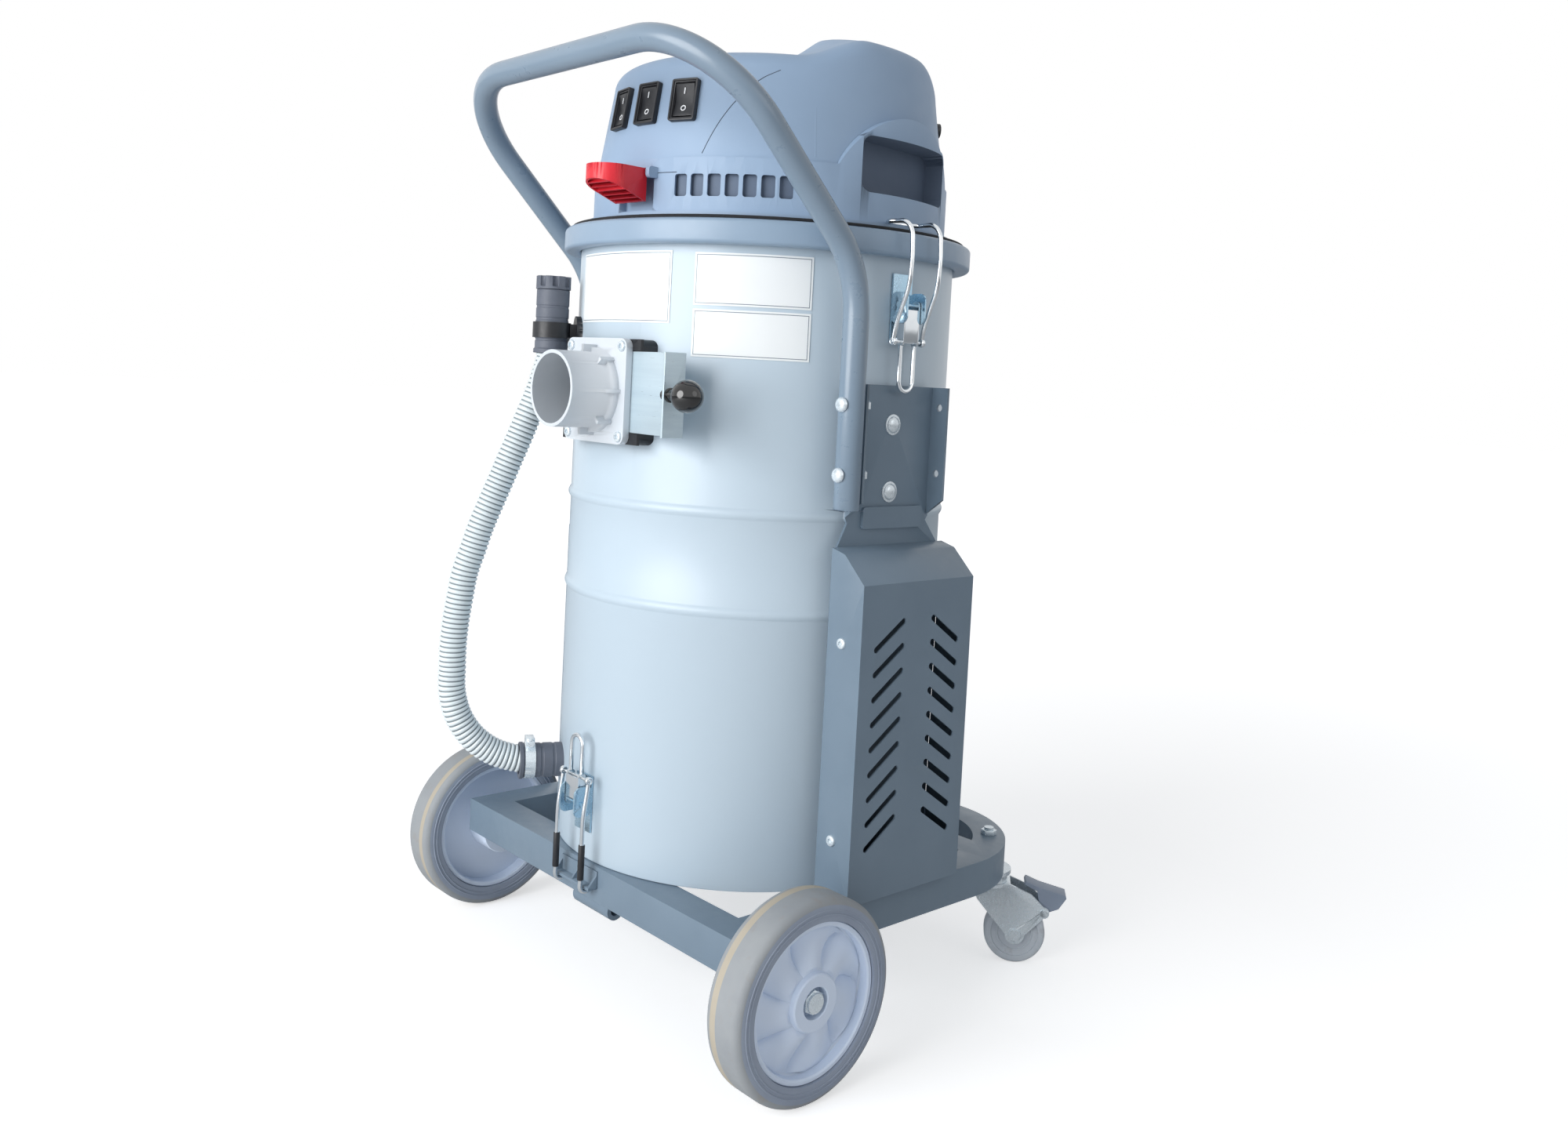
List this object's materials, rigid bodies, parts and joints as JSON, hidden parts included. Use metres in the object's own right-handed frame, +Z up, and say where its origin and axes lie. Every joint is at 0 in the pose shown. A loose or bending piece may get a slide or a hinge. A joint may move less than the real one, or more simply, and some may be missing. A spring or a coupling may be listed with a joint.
{
  "type": "wet and dry vacuum cleaner",
  "caption": "Wheeled wet and dry vacuum cleaner: steel drum with ribbed drain hose, motor head, tube frame, push handle, gated suction inlet and toggle latches.",
  "frame": {"origin": "on the floor, on the axis of the drum, which is within a few millimetres of the middle of the object's box", "axes": "+Z up along the drum axis, -Y towards the operator, the handle and the suction inlet, +X to the operator's right as seen from behind the handle"},
  "size_m": [0.662, 0.648, 1.1023],
  "materials": {
    "frame_paint": "grey-blue powder coat, fine orange peel",
    "cover_paint": "dark grey powder coat",
    "drum_paint": "pale blue-grey powder coat, satin gloss",
    "zinc": "bright zinc plate",
    "hub_plastic": "pale blue-grey moulding",
    "tyre_rubber": "grey non-marking rubber",
    "caster_rubber": "pale blue-grey non-marking moulding",
    "pedal_plastic": "grey-blue moulding",
    "label": "bare plate",
    "inlet_grey": "light grey moulding",
    "black_plastic": "black moulding",
    "knob_black": "glossy black ball",
    "gate_steel": "bright sheet",
    "hose_plastic": "pale grey ribbed hose",
    "cuff_rubber": "dark grey rubber",
    "head_plastic": "grey-blue textured moulding",
    "hook_red": "red moulding",
    "gasket_foam": "black foam rubber",
    "motor_alloy": "cast motor bodies",
    "filter_paper": "pleated filter cloth",
    "float_plastic": "orange float"
  },
  "bodies": {
    "trolley": {"base_frame": "frame_paint", "axle": "zinc", "latch_keeper": "frame_paint", "left_caster_stem": "zinc", "right_caster_stem": "zinc", "left_bracket": "frame_paint", "right_bracket": "frame_paint", "left_cover": "cover_paint", "right_cover": "cover_paint", "handle": "frame_paint", "handle_bolts": "zinc", "screws": "zinc", "drum": "drum_paint", "rim_ring": "frame_paint", "head_gasket": "gasket_foam", "blank_plates": "label", "inlet_plate": "black_plastic", "inlet_socket": "inlet_grey", "left_latch_plate": "zinc", "right_latch_plate": "zinc", "front_latch_plate": "zinc", "drain_cuff": "cuff_rubber", "hose_clamp": "zinc", "drain_hose": "hose_plastic", "drain_end": "cuff_rubber", "hose_clip": "black_plastic", "head_base": "head_plastic", "head_cover": "head_plastic", "switch_frames": "black_plastic", "cord_gland": "black_plastic", "motor_deck": "motor_alloy", "motors": "motor_alloy", "filter": "filter_paper"},
    "left_wheel_body": {"left_wheel": "hub_plastic", "left_tyre": "tyre_rubber"},
    "right_wheel_body": {"right_wheel": "hub_plastic", "right_tyre": "tyre_rubber"},
    "left_caster": {"left_caster_fork": "zinc"},
    "left_caster_roller": {"left_caster_wheel": "caster_rubber"},
    "left_pedal": {"left_brake_pedal": "pedal_plastic"},
    "right_caster": {"right_caster_fork": "zinc"},
    "right_caster_roller": {"right_caster_wheel": "caster_rubber"},
    "right_pedal": {"right_brake_pedal": "pedal_plastic"},
    "gate_body": {"gate": "gate_steel", "gate_knob": "knob_black"},
    "left_lever": {"left_latch_lever": "zinc"},
    "left_bail": {"left_latch_bail": "zinc"},
    "right_lever": {"right_latch_lever": "zinc"},
    "right_bail": {"right_latch_bail": "zinc"},
    "front_lever": {"front_latch_lever": "zinc"},
    "front_bail": {"front_latch_bail": "zinc"},
    "switch_1": {"rocker_1": "black_plastic"},
    "switch_2": {"rocker_2": "black_plastic"},
    "switch_3": {"rocker_3": "black_plastic"},
    "cord_hook": {"red_hook": "hook_red"},
    "impeller_1": {"fan_1": "motor_alloy"},
    "impeller_2": {"fan_2": "motor_alloy"},
    "impeller_3": {"fan_3": "motor_alloy"},
    "float_body": {"float_ball": "float_plastic"},
    "cap_body": {"drain_cap": "cuff_rubber"}
  },
  "joints": [
    {"name": "left_wheel_spin", "type": "hinge", "parent": "trolley", "child": "left_wheel_body", "pos_m": [-0.306, -0.1755, 0.103], "axis": [1, 0, 0], "continuous": true},
    {"name": "right_wheel_spin", "type": "hinge", "parent": "trolley", "child": "right_wheel_body", "pos_m": [0.306, -0.1755, 0.103], "axis": [1, 0, 0], "continuous": true},
    {"name": "left_caster_swivel", "type": "hinge", "parent": "trolley", "child": "left_caster", "pos_m": [-0.205, 0.236, 0.0977], "axis": [0, 0, 1], "continuous": true},
    {"name": "left_caster_roll", "type": "hinge", "parent": "left_caster", "child": "left_caster_roller", "pos_m": [-0.23411, 0.26043, 0.0375], "axis": [-0.6428, -0.766, 0], "continuous": true},
    {"name": "left_pedal_press", "type": "hinge", "parent": "left_caster", "child": "left_pedal", "pos_m": [-0.26016, 0.28228, 0.068], "axis": [-0.6428, -0.766, 0], "range_deg": [0, 10]},
    {"name": "right_caster_swivel", "type": "hinge", "parent": "trolley", "child": "right_caster", "pos_m": [0.205, 0.236, 0.0977], "axis": [0, 0, 1], "continuous": true},
    {"name": "right_caster_roll", "type": "hinge", "parent": "right_caster", "child": "right_caster_roller", "pos_m": [0.23411, 0.26043, 0.0375], "axis": [-0.6428, 0.766, 0], "continuous": true},
    {"name": "right_pedal_press", "type": "hinge", "parent": "right_caster", "child": "right_pedal", "pos_m": [0.26016, 0.28228, 0.068], "axis": [-0.6428, 0.766, 0], "range_deg": [0, 10]},
    {"name": "gate_slide", "type": "slide", "parent": "trolley", "child": "gate_body", "axis": [1, 0, 0], "range_m": [-0.086, 0]},
    {"name": "left_latch_lift", "type": "hinge", "parent": "trolley", "child": "left_lever", "pos_m": [-0.239, 0, 0.797], "axis": [0, 1, 0], "range_deg": [0, 140]},
    {"name": "left_bail_swing", "type": "hinge", "parent": "left_lever", "child": "left_bail", "pos_m": [-0.239, 0, 0.757], "axis": [0, 1, 0], "range_deg": [-168, 0]},
    {"name": "right_latch_lift", "type": "hinge", "parent": "trolley", "child": "right_lever", "pos_m": [0.239, 0, 0.797], "axis": [0, -1, 0], "range_deg": [0, 140]},
    {"name": "right_bail_swing", "type": "hinge", "parent": "right_lever", "child": "right_bail", "pos_m": [0.239, 0, 0.757], "axis": [0, -1, 0], "range_deg": [-168, 0]},
    {"name": "front_latch_lift", "type": "hinge", "parent": "trolley", "child": "front_lever", "pos_m": [-0.0095, -0.239, 0.222], "axis": [1, 0, 0], "range_deg": [0, 140]},
    {"name": "front_bail_swing", "type": "hinge", "parent": "front_lever", "child": "front_bail", "pos_m": [-0.0095, -0.239, 0.252], "axis": [1, 0, 0], "range_deg": [-168, 0]},
    {"name": "switch_1_press", "type": "hinge", "parent": "trolley", "child": "switch_1", "pos_m": [-0.03562, -0.1922, 1.00537], "axis": [0.9833, -0.1822, 0], "range_deg": [-10, 0]},
    {"name": "switch_2_press", "type": "hinge", "parent": "trolley", "child": "switch_2", "pos_m": [0.01534, -0.19487, 1.00537], "axis": [0.9969, 0.0785, 0], "range_deg": [-10, 0]},
    {"name": "switch_3_press", "type": "hinge", "parent": "trolley", "child": "switch_3", "pos_m": [0.06525, -0.18426, 1.00537], "axis": [0.9426, 0.3338, 0], "range_deg": [-10, 0]},
    {"name": "cord_hook_fold", "type": "hinge", "parent": "trolley", "child": "cord_hook", "pos_m": [0.01524, -0.21797, 0.927], "axis": [-0.9976, -0.0698, 0], "range_deg": [0, 75]},
    {"name": "impeller_1_spin", "type": "hinge", "parent": "trolley", "child": "impeller_1", "pos_m": [0, 0.097, 0.91], "axis": [0, 0, 1], "continuous": true},
    {"name": "impeller_2_spin", "type": "hinge", "parent": "trolley", "child": "impeller_2", "pos_m": [-0.084, -0.0485, 0.91], "axis": [0, 0, 1], "continuous": true},
    {"name": "impeller_3_spin", "type": "hinge", "parent": "trolley", "child": "impeller_3", "pos_m": [0.084, -0.0485, 0.91], "axis": [0, 0, 1], "continuous": true},
    {"name": "float_rise", "type": "slide", "parent": "trolley", "child": "float_body", "axis": [0, 0, 1], "range_m": [0, 0.029]},
    {"name": "drain_cap_turn", "type": "hinge", "parent": "trolley", "child": "cap_body", "pos_m": [-0.10904, -0.23383, 0.8], "axis": [0, 0, 1], "range_deg": [0, 90]}
  ],
  "couplings": [
    {"joint": "left_bail_swing", "follows": "left_latch_lift", "ratio": -1.2},
    {"joint": "right_bail_swing", "follows": "right_latch_lift", "ratio": -1.2},
    {"joint": "front_bail_swing", "follows": "front_latch_lift", "ratio": -1.2}
  ]
}
